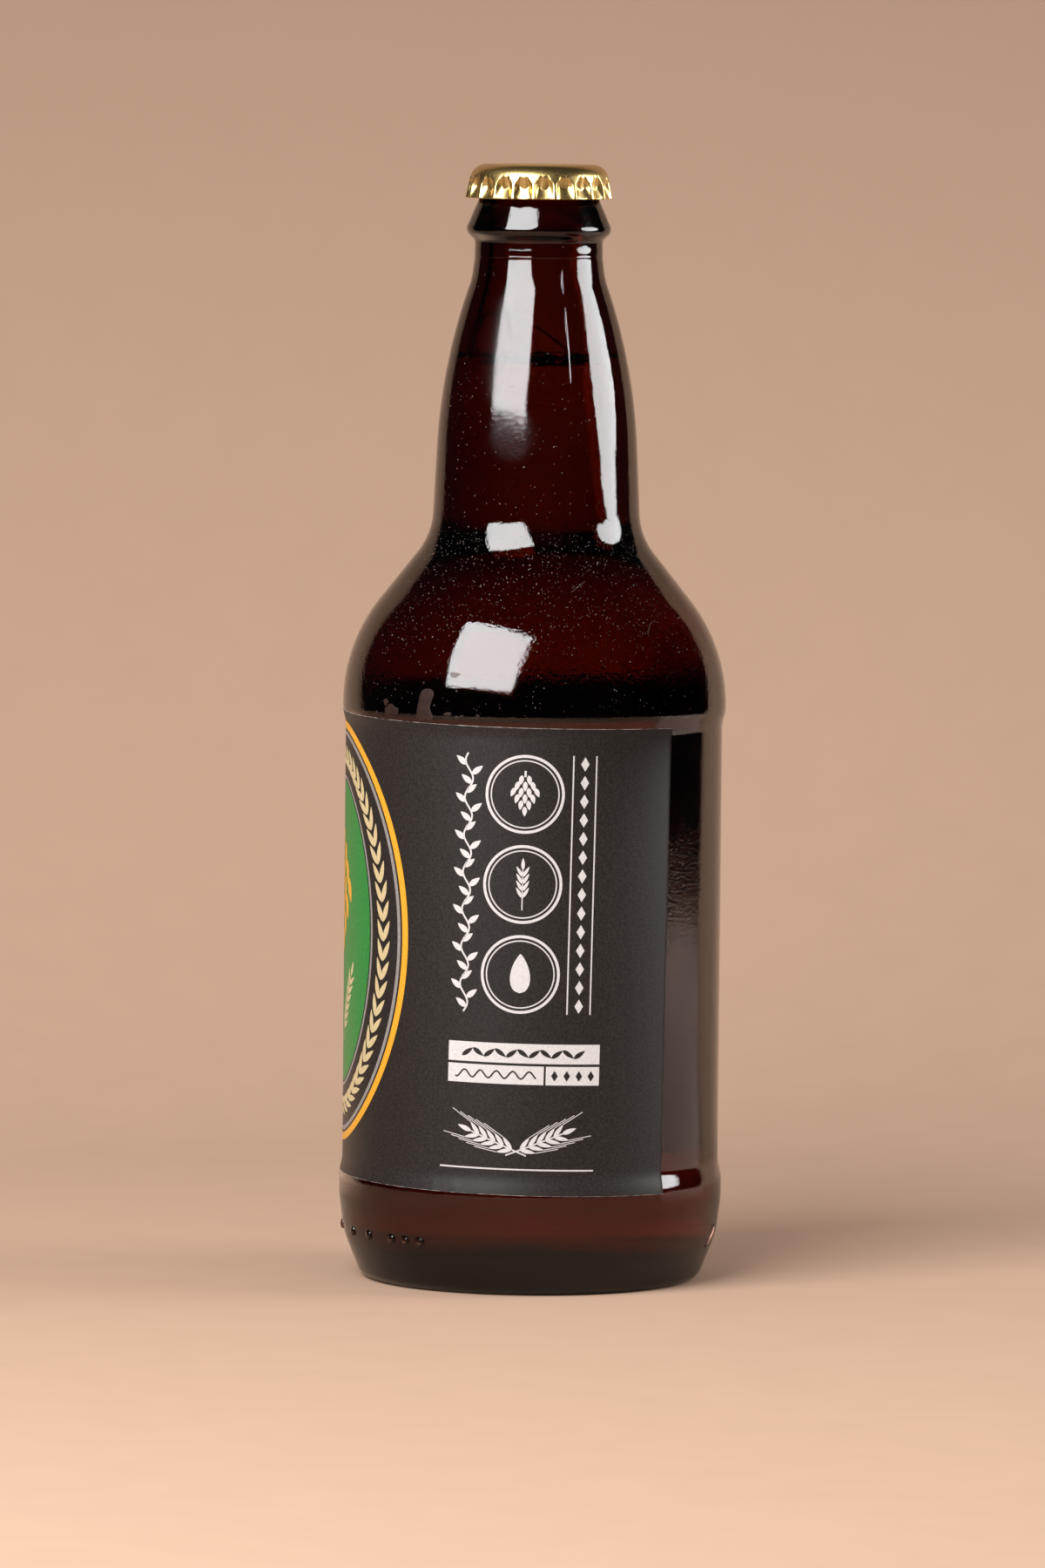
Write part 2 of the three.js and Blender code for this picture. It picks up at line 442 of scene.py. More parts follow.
WALL_CORNERS = [
    (FOOT_R, 0, 3),
    (HEEL_R, HEEL_BEND_Z, 18),
    (BODY_R, HEEL_Z, 8),
    (BODY_R, LOWER_BAND_Z, 8),
    (PANEL_R, PANEL_FOOT_Z, 8),
    (PANEL_R, PANEL_TOP_Z, 7),
    (BODY_R, UPPER_BAND_Z, 7),
    (BODY_R, SHOULDER_Z, 33),
    (NECK_FOOT_R, NECK_FOOT_Z, 13.5),
    (NECK_BEND_R, NECK_BEND_Z, 112),
    (COLLAR_FOOT_R, COLLAR_FOOT_Z, 14),
    (COLLAR_R, COLLAR_Z, 3),
    (COLLAR_R, BEAD_FOOT_Z, 1.1),
    (BEAD_R, BEAD_Z, 1.7),
    (THROAT_R, THROAT_Z, 1.2),
]
DOME_SHARE = 0.8  # the pushed-up base bends here, as a share of its height and of the ring's radius
BASE_CORNERS = [(0, PUNT), (DOME_SHARE * RING_R, DOME_SHARE * PUNT, 10), (RING_R, 0, 1.2)]
LIP_CORNERS = [
    (THROAT_R, LIP_FOOT_Z - 1, 0.5),
    (LIP_R, LIP_FOOT_Z, 0.5),
    (LIP_R, MOUTH_Z, 2),
    (BORE_R, MOUTH_Z, 1.2),
    (BORE_R, BORE_TOP_Z),
]


def inside_corners(reach):
    """Corners of the inside from the mouth down to the axis, moved out into the wall by a reach."""
    return [
        (BORE_R + reach, BORE_TOP_Z),
        (BORE_R + reach, BORE_FOOT_Z, 30),
        (NECK_BEND_R - NECK_WALL + reach, INNER_BEND_Z, 90),
        (NECK_FOOT_R - NECK_WALL + reach, INNER_NECK_FOOT_Z, 16),
        (BODY_R - WALL + reach, INNER_SHOULDER_Z, 30),
        (BODY_R - WALL + reach, FLOOR_Z - reach, 5),
        (0, FLOOR_Z + PUNT - reach),
    ]


wall_outline = rounded_outline([(RING_R, 0)] + WALL_CORNERS + [(THROAT_R, MOUTH_Z)], 0.5)


def wall_radius(z):
    """Radius of the outside of the glass at a height."""
    return np.interp(z, wall_outline[:, 1], wall_outline[:, 0])


INSIDE_UNEVEN = 0.2
OUTSIDE_UNEVEN = 0.03


def uneven(angle, z, depth):
    """Slow unevenness of blown glass, in uneven waves round it and up it."""
    slow = np.sin(3 * angle + z / 17 + 1) + 0.6 * np.sin(5 * angle - z / 11 + 2)
    return depth * (slow + 0.5 * np.sin(8 * angle + z / 7)) / 2


def inner_radius(angle, r, z):
    """Radius of the uneven inside wall, which is even at the axis and at the mouth."""
    even_r, uneven_r = 8.5, 12.5
    return r + uneven(angle, z, INSIDE_UNEVEN) * np.clip((r - even_r) / (uneven_r - even_r), 0, 1)


SEAM_HALF_WIDTH = 0.65  # degrees
SEAM_STRETCHES = ((142.2, 145.4), (176, 190), (193.4, 197.2))  # heights where the seam is plain
SEAM_HEIGHT = 0.15
FAINT_SEAM = 0.03  # share of that height elsewhere
PARTING_HALF_WIDTH = 0.14
PARTING_HEIGHT = 0.035  # also of the collar's swell
SWELL_LOW_Z = PARTING_Z + 0.3
SWELL_LENGTH = 2.3


def mould_ridges(angle, z):
    """Height of what the mould leaves on the glass: a fine ridge up both sides, plainest in a few stretches,
    another round the collar, and a slight swell of the collar above it."""
    apart = np.abs((angle[..., None] - SEAM_ANGLES + math.pi) % (2 * math.pi) - math.pi)
    seam = np.exp(-((np.degrees(apart) / SEAM_HALF_WIDTH) ** 2)).sum(-1)
    plain = sum((z > low) & (z < high) for low, high in SEAM_STRETCHES)
    seam_height = SEAM_HEIGHT * (FAINT_SEAM + (1 - FAINT_SEAM) * plain) * (z < PARTING_Z)
    parting = np.exp(-(((z - PARTING_Z) / PARTING_HALF_WIDTH) ** 2))
    in_collar = (z > SWELL_LOW_Z) & (z < SWELL_LOW_Z + SWELL_LENGTH)
    swell = np.sin(2 * math.pi * (z - SWELL_LOW_Z) / SWELL_LENGTH) * in_collar
    return seam_height * seam + PARTING_HEIGHT * (parting + swell)


COLUMNS = 160
SEAM_COLUMNS = np.array([-2.4, -1.4, -0.7, 0, 0.7, 1.4, 2.4])  # close columns on a seam, in its half widths
seam_columns = SEAM_ANGLES[:, None] + np.radians(SEAM_HALF_WIDTH) * SEAM_COLUMNS
column_angles = np.unique(np.append(full_turn(COLUMNS), seam_columns % (2 * math.pi)))
OUTSIDE_STEP = 1.6
INSIDE_STEP = 4.0


def outer_rows():
    """The outside's outline, with close rows on the parting ridge and the swell."""
    outline = rounded_outline(BASE_CORNERS + WALL_CORNERS + LIP_CORNERS, OUTSIDE_STEP)
    ridge_rows = [-0.4, -0.25, -0.15, -0.07, 0, 0.07, 0.15]
    heights = PARTING_Z + np.append(ridge_rows, np.arange(0.3, 2.7, 0.23))
    clear = 0.05
    outside = outline[:, 0] > BORE_R + 1
    after = np.argmax((outline[:, 1] > heights[0] - clear) & outside)
    before = np.argmax((outline[:, 1] > heights[-1] + clear) & outside)
    ridge = np.stack([wall_radius(heights), heights], -1)
    return np.vstack([outline[:after], ridge, outline[before:]])


inner_outline = rounded_outline(inside_corners(0), INSIDE_STEP)


def glass_shape():
    """The outside from the base to the lip, then the inside back down to the axis."""
    outer = outer_rows()[:-1]
    outline = np.vstack([outer, inner_outline])
    outside = np.arange(1, len(outline) - 1)[:, None] < len(outer)
    even_height = 6  # over the label

    def radius_at(angle, r, z):
        clear_of_label = np.clip((z - UPPER_BAND_Z) / even_height, 0, 1) * (r > BORE_R + 1)
        outer_r = r + mould_ridges(angle, z) + uneven(angle, z, OUTSIDE_UNEVEN) * clear_of_label
        return np.where(outside, outer_r, inner_radius(angle, r, z))

    return turned(outline, column_angles, radius_at)


DOT_Z = 10.0
DOT_DEGREES = (-90, -70, -58.6, -47.1, -41.3, -35.5)  # right of the camera, as all below
DOT_SINK = 0.3  # the dots start inside the glass
DOT_CORNERS = [(1.05, -DOT_SINK), (0.98, 0.3, 0.45), (0, 0.55)]
RIB_HEIGHTS = (7.3, 11.2)
RIB_DEGREES = (72.8, 78)
RIB_R = 0.32


def heel_marks_shape():
    """Raised dots of the mould's code round the heel, and one short slanting rib."""
    profile = np.vstack([[0, -DOT_SINK], rounded_outline(DOT_CORNERS, 0.1)])
    points, faces = turned(profile, full_turn(12), even_radius)
    marks = []
    for degrees in DOT_DEGREES:
        angle = PHOTO_AZIMUTH + math.radians(degrees)
        out = round_points(1.0, angle, 0.0)
        across = round_points(1.0, angle + math.pi / 2, 0.0)
        centre = round_points(wall_radius(DOT_Z), angle, DOT_Z)
        marks.append((centre + points @ np.array([across, [0, 0, 1], out]), faces))
    heights = np.linspace(*RIB_HEIGHTS, 9)
    rib_angles = PHOTO_AZIMUTH + np.radians(np.linspace(*RIB_DEGREES, 9))
    marks.append(tube(round_points(wall_radius(heights), rib_angles, heights), RIB_R, 8))
    return joined(marks)


# The beer


MENISCUS = 3.0  # how far the beer climbs the glass, half of it over the level that shows
MENISCUS_CURVE = 2.2  # how far it reaches from the glass
BEER_REACH = 0.06  # the beer reaches just into the wall, so that no air shows between them
FILM_START = -60  # degrees
FILM_SPAN = 85
FILM_RISE = 9  # over the beer
FILM_STEEP = 0.04  # share of its span in which it rises
FILM_FALL = 0.85  # share of its rise that it loses
FILM_THREAD = 0.24  # radius of its rim
BUBBLES = ((18, 7, 14), (-58, 5, 6), (150, 30, 12))  # degrees, their spread, and count
BUBBLE_SIZES = (0.25, 0.75)
STACKED_SHARE = 0.4  # some bubbles sit on others
STACKED_RISE = 1.6
BUBBLE_FACETS = 14


def beer_shape():
    """The beer up to its surface, which climbs at the glass and has rings that are closer there."""
    wall = rounded_outline(inside_corners(BEER_REACH), INSIDE_STEP)[::-1]
    level = FILL_Z - MENISCUS / 2
    top_z = level + MENISCUS
    top_r = np.interp(top_z, wall[:, 1], wall[:, 0])
    clear, rings, closeness = 0.2, 24, 1.6
    wall = wall[wall[:, 1] < top_z - clear]
    r = top_r * (1 - np.linspace(0, 1, rings) ** closeness)
    surface = np.stack([r, level + MENISCUS * np.exp((r - top_r) / MENISCUS_CURVE)], -1)
    return turned(np.vstack([wall, surface]), column_angles, inner_radius)


def on_inside(degrees, z, inset):
    """Points on the inside of the glass, moved inwards."""
    inner = inner_outline[::-1]
    angle = PHOTO_AZIMUTH + np.radians(degrees)
    wall = inner_radius(angle, np.interp(z, inner[:, 1], inner[:, 0]), z)
    return round_points(wall - inset, angle, z)


def film_shape():
    """The rim of one large film over the beer, which rises steeply up the glass and falls slowly."""
    share = np.linspace(0, 1, 60)
    rise = FILM_RISE * (1 - np.exp(-share / FILM_STEEP)) * (1 - FILM_FALL * share**3)
    foot_z, inset = FILL_Z + 0.4, 0.05
    return tube(on_inside(FILM_START + FILM_SPAN * share, foot_z + rise, inset), FILM_THREAD)


def bubbles_shape():
    """Small bubbles on the beer, beside the film."""
    shapes = []
    around = full_turn(BUBBLE_FACETS)
    afloat_z = FILL_Z + 0.7
    for middle, spread, count in BUBBLES:
        for _ in range(count):
            size = rng.uniform(*BUBBLE_SIZES)
            degrees = middle + spread * rng.normal()
            z = afloat_z + rng.uniform(0, STACKED_RISE) * (rng.random() < STACKED_SHARE)
            fillet = 0.9 * size
            ball = [(0, -size), (size, -size, fillet), (size, size, fillet), (0, size)]
            points, faces = turned(rounded_outline(ball, 0.2), around, even_radius)
            shapes.append((points + on_inside(degrees, z, size), faces))
    return joined(shapes)


# The crown cap


FLUTES = 21
FLUTE_TOP_Z = 216.0  # each flute starts here as a round tongue
FLUTE_SIDE_Z = 213.8  # the ridges stand straight below
CREASE_Z = 213.25  # the flutes are deepest here, and open out again to the rim
CREASE_RISE = 0.5  # how much higher the crease is beside the tongue
TONGUE_SHARE = 0.46  # width of the tongue in the middle of a flute, as a share of the flute
RIDGE_SHARE = 0.12  # width of a ridge's crest, as a share of the pitch
FIRST_RIDGE = math.radians(12.4)
CAP_EDGE_R = 12.95  # corner of the top before it is rounded
CAP_RIM_R = 14.36
CAP_ROUND = 3.2  # rounding from the top to the skirt
CAP_SHEET = 0.26
CAP_RIM_ROUND = 0.1
FLUTE_CURVE = 1.7  # how the flutes bend from the tongue up to the ridges
ACROSS_FLUTE = 30  # facets
FLUTE_WIDTHS = (  # heights, and the width there as a share of the whole
    (FLUTE_SIDE_Z, 214.4, 214.75, 215.05, 215.6, FLUTE_TOP_Z),
    (1, 0.97, 0.87, 0.69, 0.6, 0.5),
)
FLUTE_DEPTHS = (  # heights, and the depth there
    (CAP_RIM_Z, CREASE_Z, 214.1, 215, 215.6, FLUTE_TOP_Z),
    (0.5, 1, 0.72, 0.36, 0.1, 0),
)


def cap_radius(angle, r, z):
    """The sheet's radius with the flutes pressed in between narrow ridges."""
    pitch = FLUTES * (angle - FIRST_RIDGE) / (2 * math.pi)
    from_middle = np.abs(2 * (pitch - np.floor(pitch)) - 1)
    width = np.interp(z, *FLUTE_WIDTHS)
    across = from_middle / (1 - RIDGE_SHARE) / width
    beside_tongue = np.clip((across - TONGUE_SHARE) / (1 - TONGUE_SHARE), 0, 1)
    level = z - CREASE_RISE * np.clip(from_middle / TONGUE_SHARE, 0, 1) ** 2
    depth = np.interp(level, *FLUTE_DEPTHS)
    soft = np.clip((z - FLUTE_SIDE_Z) / (FLUTE_TOP_Z - FLUTE_SIDE_Z), 0, 1)
    smooth = beside_tongue**2 * (3 - 2 * beside_tongue)
    pressed = 1 - (1 - soft) * beside_tongue**FLUTE_CURVE - soft * smooth
    return r - depth * pressed


def cap_shape():
    """The top and the skirt, inside and outside, joined round the rim."""

    def sheet(inset):
        corners = [
            (CAP_EDGE_R - CAP_ROUND, CAP_TOP_Z - inset),
            (CAP_EDGE_R - inset, CAP_TOP_Z - inset, CAP_ROUND - inset),
            (CAP_RIM_R - inset, CAP_RIM_Z + CAP_RIM_ROUND),
        ]
        return np.vstack([[0, CAP_TOP_Z - inset], rounded_outline(corners, 0.2)])

    rim = [[CAP_RIM_R - share * CAP_SHEET, CAP_RIM_Z] for share in (0.6, 0.2)]
    outline = np.vstack([sheet(CAP_SHEET), rim, sheet(0)[::-1]])
    return turned(outline, FIRST_RIDGE + full_turn(FLUTES * ACROSS_FLUTE), cap_radius)


# The label and its print


LABEL_LENGTH = 168
LABEL_HEIGHT = 90.4
LABEL_MID_Z = 66.2
LABEL_TILT = math.radians(1.05)  # it was stuck on a little crooked
LABEL_BEND_R = 36.98
GLUE = -0.02  # the glue wets the glass, so the paper lies just in its surface
PAPER = 0.1
CUT_EDGE = 0.07  # bare paper that shows along the top and foot
INK = 0.02  # each layer of print, thicker than real ink so that layers don't touch
BLISTERS_S = (36.4, 41.3)
BLISTERS_T = -44.6
BLISTER_HEIGHT = 0.14
FOLD_S = 81
FOLD_TOP_T = -30
FOLD_HEIGHT = 0.1


def label_bulge(s, t):
    """Two blisters at the foot of the label and a faint slanting fold near its right end."""
    up = ((t - BLISTERS_T) / 1.1) ** 2
    blisters = sum(np.exp(-(((s - at) / 0.8) ** 2 + up)) for at in BLISTERS_S)
    fold = np.exp(-(((s - FOLD_S + 0.1 * t) / 0.7) ** 2)) * np.clip((FOLD_TOP_T - t) / 8, 0, 1)
    return BLISTER_HEIGHT * blisters + FOLD_HEIGHT * fold


def on_label(s, t, lift):
    """Points over the flat label's place s to the right and t up from its middle, lifted off the glass."""
    along = s * math.cos(LABEL_TILT) + t * math.sin(LABEL_TILT)
    z = LABEL_MID_Z - s * math.sin(LABEL_TILT) + t * math.cos(LABEL_TILT)
    return round_points(wall_radius(z) + lift + label_bulge(s, t), along / LABEL_BEND_R, z)


def label_piece(ink, paper, back_paper):
    """The sheet, with ink on its front and bare paper along its cut edges and on its back."""
    s_count, t_count = 253, 121
    columns = np.linspace(-0.5, 0.5, s_count) * LABEL_LENGTH
    rows = np.linspace(-0.5, 0.5, t_count) * LABEL_HEIGHT
    rows[[1, -2]] = rows[[0, -1]] + (CUT_EDGE, -CUT_EDGE)
    s, t = np.meshgrid(columns, rows)
    front = on_label(s, t, GLUE + PAPER).reshape(-1, 3)
    back = on_label(s, t, GLUE).reshape(-1, 3)
    front_faces = grid_faces(t_count, s_count, False)
    back_faces = front_faces[:, ::-1] + len(front)
    index = np.arange(len(front)).reshape(t_count, s_count)
    border = np.concatenate([index[0, :-1], index[:-1, -1], index[-1, :0:-1], index[:0:-1, 0]])
    after = np.roll(border, -1)
    edge_faces = np.stack([border + len(front), after + len(front), after, border], -1)
    faces = np.concatenate([front_faces, back_faces, edge_faces]).tolist()
    shape = np.vstack([front, back]), faces
    piece = add_piece("paper_label", shape, [ink, paper, back_paper], "label")
    slots = np.ones(len(faces), int)
    slots[s_count - 1 : len(front_faces) - s_count + 1] = 0
    slots[len(front_faces) : 2 * len(front_faces)] = 2
    piece.data.polygons.foreach_set("material_index", slots)
    return piece


def ribbon(line, half_width, closed=False):
    """A band of print along a line of places (s, t), split so that it follows the bend of the label."""
    count = len(line)
    half_width = np.broadcast_to(half_width, count)
    if closed:
        ahead = np.roll(line, -1, 0) - np.roll(line, 1, 0)
    else:
        ahead = np.gradient(line, axis=0)
    ahead = unit(ahead)
    side = np.stack([-ahead[:, 1], ahead[:, 0]], -1) * half_width[:, None]
    splits = math.ceil(2 * half_width.max())
    across = np.linspace(-1, 1, splits + 1)[:, None, None]
    return (line + across * side).reshape(-1, 2), grid_faces(splits + 1, count, closed).tolist()


def heading(degrees):
    return np.array([math.cos(math.radians(degrees)), math.sin(math.radians(degrees))])


def bar(start, end, width):
    """A straight bar between two places."""
    start, end = np.asarray(start, float), np.asarray(end, float)
    count = max(2, math.ceil(np.linalg.norm(end - start)) + 1)
    return ribbon(start + (end - start) * np.linspace(0, 1, count)[:, None], width / 2)


def oval(middle, half_s, half_t, width):
    """A ring whose outer edge has these half sizes."""
    a = full_turn(144)
    line = np.stack([(half_s - width / 2) * np.cos(a), (half_t - width / 2) * np.sin(a)], -1)
    return ribbon(np.asarray(middle) + line, width / 2, True)


def filled_oval(middle, half_s, half_t):
    count, end = 90, 0.04
    share = -np.cos(np.linspace(end, math.pi - end, count))
    line = np.stack([middle[0] + half_s * share, np.full(count, middle[1])], -1)
    return ribbon(line, half_t * np.sqrt(1 - share**2))


TIP = 0.02  # half width of the points of shapes


def leaf(foot, degrees, length, width):
    """A grain, bract or leaf: pointed at both ends and widest in its lower half."""
    share = np.linspace(0, 1, 13)
    line = np.asarray(foot) + heading(degrees) * length * share[:, None]
    return ribbon(line, TIP + width / 2 * np.sin(math.pi * share**0.8) ** 0.9)


def lozenge(middle, width, height):
    line = np.asarray(middle) + np.outer([-0.5, 0, 0.5], (0, height))
    return ribbon(line, [TIP, width / 2, TIP])


def barley_ear(foot, degrees, stem, spacing, pairs, awn=0):
    """An ear of barley: a stalk, pairs of grains, one grain at the tip and an awn on each grain."""
    foot = np.asarray(foot, float)
    ahead = heading(degrees)
    stalk_end = foot + ahead * (stem + pairs * spacing)
    shapes = [bar(foot, stalk_end, 0.16 * spacing), leaf(stalk_end, degrees, 1.7 * spacing, 0.5 * spacing)]
    for k in range(pairs):
        at = foot + ahead * (stem + k * spacing)
        for side in (-1, 1):
            out = degrees + 32 * side
            tip = at + heading(out) * 1.75 * spacing
            shapes.append(leaf(at, out, 1.75 * spacing, 0.44 * spacing))
            if awn:
                shapes.append(bar(tip, tip + heading(degrees + 11 * side) * awn, 0.14))
    return shapes


def hop_cone(middle, height):
    """A hanging hop cone: rows of bracts under a short stalk."""
    middle = np.asarray(middle, float)
    shapes = [bar(middle + (0, 0.42 * height), middle + (0, 0.56 * height), 0.05 * height)]
    for row, count in enumerate((2, 3, 4, 3, 2, 1)):
        for k in range(count):
            across = (k - (count - 1) / 2) * 0.15 * height
            foot = middle + (across, (0.46 - 0.14 * row) * height)
            shapes.append(leaf(foot, -90 + 110 * across / height, 0.22 * height, 0.105 * height))
    return shapes


def water_drop(middle, height):
    share = np.linspace(0, 1, 24)
    line = np.asarray(middle) + np.stack([0 * share, (share - 0.45) * height], -1)
    return ribbon(line, TIP + 0.62 * height * np.sqrt(share) * (1 - share) ** 0.85)


def leafy_vine(s, low, high):
    """A wavy stem with a leaf at each bend."""
    t = np.linspace(low, high, 120)
    wave, pace = 0.8, 2 * math.pi / 7.2
    shapes = [ribbon(np.stack([s + wave * np.sin(pace * (t - low)), t], -1), 0.17)]
    leaves = round((high - low) / 1.8) - 1
    for k in range(leaves):
        at = low + 1.8 * k + 0.9
        foot = (s + wave * math.sin(pace * (at - low)), at)
        shapes.append(leaf(foot, 90 + 52 * (-1) ** k, 2.7, 1.1))
    return shapes


def print_shapes():
    """The print of each ink as shapes on the flat label, with the number of layers under it."""
    white, yellow, grey, green, cream, black = [], [], [], [], [], []

    # A medallion in the middle: rings, a wreath of grain, and a hop cone over two ears
    middle = (0, 1.9)
    yellow.append(oval(middle, 28.9, 41.2, 1.5))
    grey.append(oval(middle, 26.9, 39.2, 0.8))
    green.append(filled_oval(middle, 17.2, 29.5))
    grey.append(oval(middle, 18.2, 30.5, 0.6))
    wreath_s, wreath_t = 21.8, 34.1
    for a in full_turn(56):
        at = np.array(middle) + (wreath_s * math.cos(a), wreath_t * math.sin(a))
        along = math.degrees(math.atan2(wreath_t * math.cos(a), -wreath_s * math.sin(a)))
        cream.append(leaf(at, along + 24, 4.6, 1.25))
        cream.append(leaf(at, along - 24, 4.6, 1.25))
    yellow += hop_cone((0, 8.5), 24)
    for side in (-1, 1):
        cream += barley_ear((0.7 * side, -21), 90 - 27 * side, 4.5, 2, 6)

    # Three round badges on the right wing, between a vine and a chain of lozenges
    badge_s = 52.9
    for badge_t, motif in (
        (32.4, hop_cone((badge_s, 32.1), 8.6)),
        (15.0, barley_ear((badge_s, 10), 90, 2.4, 1.35, 4)),
        (-2.4, [water_drop((badge_s, -2.6), 7.6)]),
    ):
        white.append(oval((badge_s, badge_t), 7.7, 7.6, 0.55))
        white.append(oval((badge_s, badge_t), 6.7, 6.6, 0.25))
        white += motif
    wing_low, wing_high = -10, 40
    white += leafy_vine(41.8, wing_low, wing_high)
    for rule_s in (62.2, 66.8):
        white.append(bar((rule_s, wing_low), (rule_s, wing_high), 0.28))
    for k in range(14):
        white.append(lozenge((64.5, wing_low + 1.6 + 3.6 * k), 1.7, 2.7))

    # A pale panel of three fields, with grains, a wavy line and lozenges in black
    panel_left, panel_right, split_left, split_right = 39, 69, 58, 58.4
    upper_t, lower_t = -17.7, -21.9
    white.append(bar((panel_left, upper_t), (panel_right, upper_t), 3.8))
    white.append(bar((panel_left, lower_t), (split_left, lower_t), 3.6))
    white.append(bar((split_right, lower_t), (panel_right, lower_t), 3.6))
    for k in range(11):
        side = (-1) ** k
        black.append(leaf((panel_left + 2.8 + 2.2 * k, upper_t - 0.8 * side), 35 * side, 2.7, 0.85))
    s = np.linspace(panel_left + 1.5, split_left - 1.5, 80)
    black.append(ribbon(np.stack([s, lower_t + 0.7 * np.sin(2 * math.pi * s / 3.2)], -1), 0.16))
    for k in range(4):
        black.append(lozenge((split_right + 1.7 + 2.4 * k, lower_t), 1.3, 2))

    # Two lying ears of barley at the foot of both wings
    rule_half, rule_t = 15.3, -40.2
    for wing_s in (-53, 53):
        for side in (-1, 1):
            white += barley_ear((wing_s - 2 * side, -37.5), 90 - 68 * side, 3, 1.75, 5, 4.5)
        white.append(bar((wing_s - rule_half, rule_t), (wing_s + rule_half, rule_t), 0.3))
    return {
        "white": (white, 1),
        "yellow": (yellow, 2),
        "grey": (grey, 1),
        "green": (green, 1),
        "cream": (cream, 2),
        "black": (black, 2),
    }


# Dust and dried glue


DUST_BANDS = ((124, 147, 3900), (147, 178, 700), (112, 124, 500), (178, 210, 160))  # heights and count
DUST_R = 0.058  # half of a middling speck
DUST_SPREAD = 0.4
LARGEST_DUST_R = 0.15
LINT = ((14, 136), (40, 128), (150, 132), (-110, 136))  # degrees, and height
LINT_R = 0.018
DUST_LIFT = 0.03  # off the glass
LINT_LIFT = 0.05


def on_wall(angle, z, lift):
    """A point over the outside of the glass and its outward direction."""
    near = 0.2
    slope = (wall_radius(z + near) - wall_radius(z - near)) / (2 * near)
    lean = math.hypot(1, slope)
    out = round_points(1 / lean, angle, -slope / lean)
    return round_points(wall_radius(z), angle, z) + lift * out, out


def dust_shape():
    """Flat specks of dust, most of them on the shoulder, and a few curled threads of lint."""
    shapes = []
    corners = 6
    turn = full_turn(corners)
    for low, high, count in DUST_BANDS:
        for _ in range(count):
            z = rng.uniform(low, high)
            angle = rng.uniform(0, 2 * math.pi)
            centre, out = on_wall(angle, z, DUST_LIFT)
            across = unit(np.cross([0, 0, 1], out))
            up = np.cross(out, across)
            size = min(DUST_R * math.exp(DUST_SPREAD * rng.normal()), LARGEST_DUST_R)
            reach = size * rng.uniform(0.6, 1.3, corners)
            rim = centre + np.outer(reach * np.cos(turn), across) + np.outer(reach * np.sin(turn), up)
            shapes.append((rim, [tuple(range(corners))]))
    for degrees, z in LINT:
        start = PHOTO_AZIMUTH + math.radians(degrees)
        share = np.linspace(0, 1, 16)
        curl = rng.uniform(-1.4, 1.4)
        angles = start + np.radians(7 * share)
        heights = z + 2 * share + curl * np.sin(math.pi * share)
        line = [on_wall(a, h, LINT_LIFT)[0] for a, h in zip(angles, heights)]
        shapes.append(tube(line, LINT_R, 5))
    return joined(shapes)


BOOT_PLACE = (-34.6, 111.2)  # degrees, and height, of the foot of the largest smear
BOOT_RIGHT = (1.6, 1.97, 1.92, 1.54, 1.28, 1.5, 1.8, 2.1, 1.9, 1.2)  # its sides, right of its foot
BOOT_LEFT = (-1.5, -1.92, -1.8, -1.8, -1.6, -1.45, -1.3, -1.1, -0.75, 0)
BOOT_HEIGHTS = (0.1, 0.6, 1.2, 1.9, 2.6, 3.4, 4.3, 5.1, 5.8, 6.2)
SMEAR_LIFT = 0.02
SMEAR_HEIGHT = 0.1
FLAKES = (  # degrees, height, and half sizes
    (-47.6, 112.9, 2.0, 1.0),
    (-50.2, 114.3, 0.7, 0.7),
    (-54.7, 112.1, 0.5, 0.4),
    (-26.5, 112.7, 0.85, 0.37),
    (-23.5, 112.1, 0.55, 0.35),
    (-21.9, 112.4, 0.5, 0.22),
    (-17, 112.4, 0.4, 0.45),
    (-25.0, 120.3, 1.1, 0.5),
    (120, 113.4, 1.8, 1.1),
    (160, 114.2, 1.2, 1.6),
)


def smear(degrees, z, outline):
    """A low lump of dried glue on the glass, with an outline round its foot in millimetres across and up."""
    middle = outline.mean(0)
    spokes, rings = len(outline), 6
    points = []
    for ring in range(rings + 1):
        out = ring / rings
        for across, up in middle + (outline - middle) * out:
            angle = PHOTO_AZIMUTH + math.radians(degrees) + across / BODY_R
            points.append(on_wall(angle, z + up, SMEAR_LIFT + SMEAR_HEIGHT * (1 - out**4))[0])
    points = points[spokes - 1 :]  # one of the innermost ring, which is all in one place
    faces = [(0, 1 + k, 1 + (k + 1) % spokes) for k in range(spokes)]
    faces += (1 + grid_faces(rings, spokes, True)[:, TURNED_OVER]).tolist()
    return np.array(points), faces


def smears_shape():
    """Dried label glue on the glass over the label."""
    boot_sides = BOOT_RIGHT + BOOT_LEFT[::-1]
    shapes = [smear(*BOOT_PLACE, np.stack([boot_sides, BOOT_HEIGHTS + BOOT_HEIGHTS[::-1]], -1))]
    spokes = 28
    turn = full_turn(spokes)
    for degrees, z, half_wide, half_high in FLAKES:
        lobes = 0.12 * np.sin(3 * turn + degrees) + 0.08 * np.sin(5 * turn + z)
        ragged = 1 + lobes + rng.uniform(-0.06, 0.06, spokes)
        outline = np.stack([half_wide * np.cos(turn) * ragged, half_high * np.sin(turn) * ragged], -1)
        shapes.append(smear(degrees, z, outline))
    return joined(shapes)


# Pieces

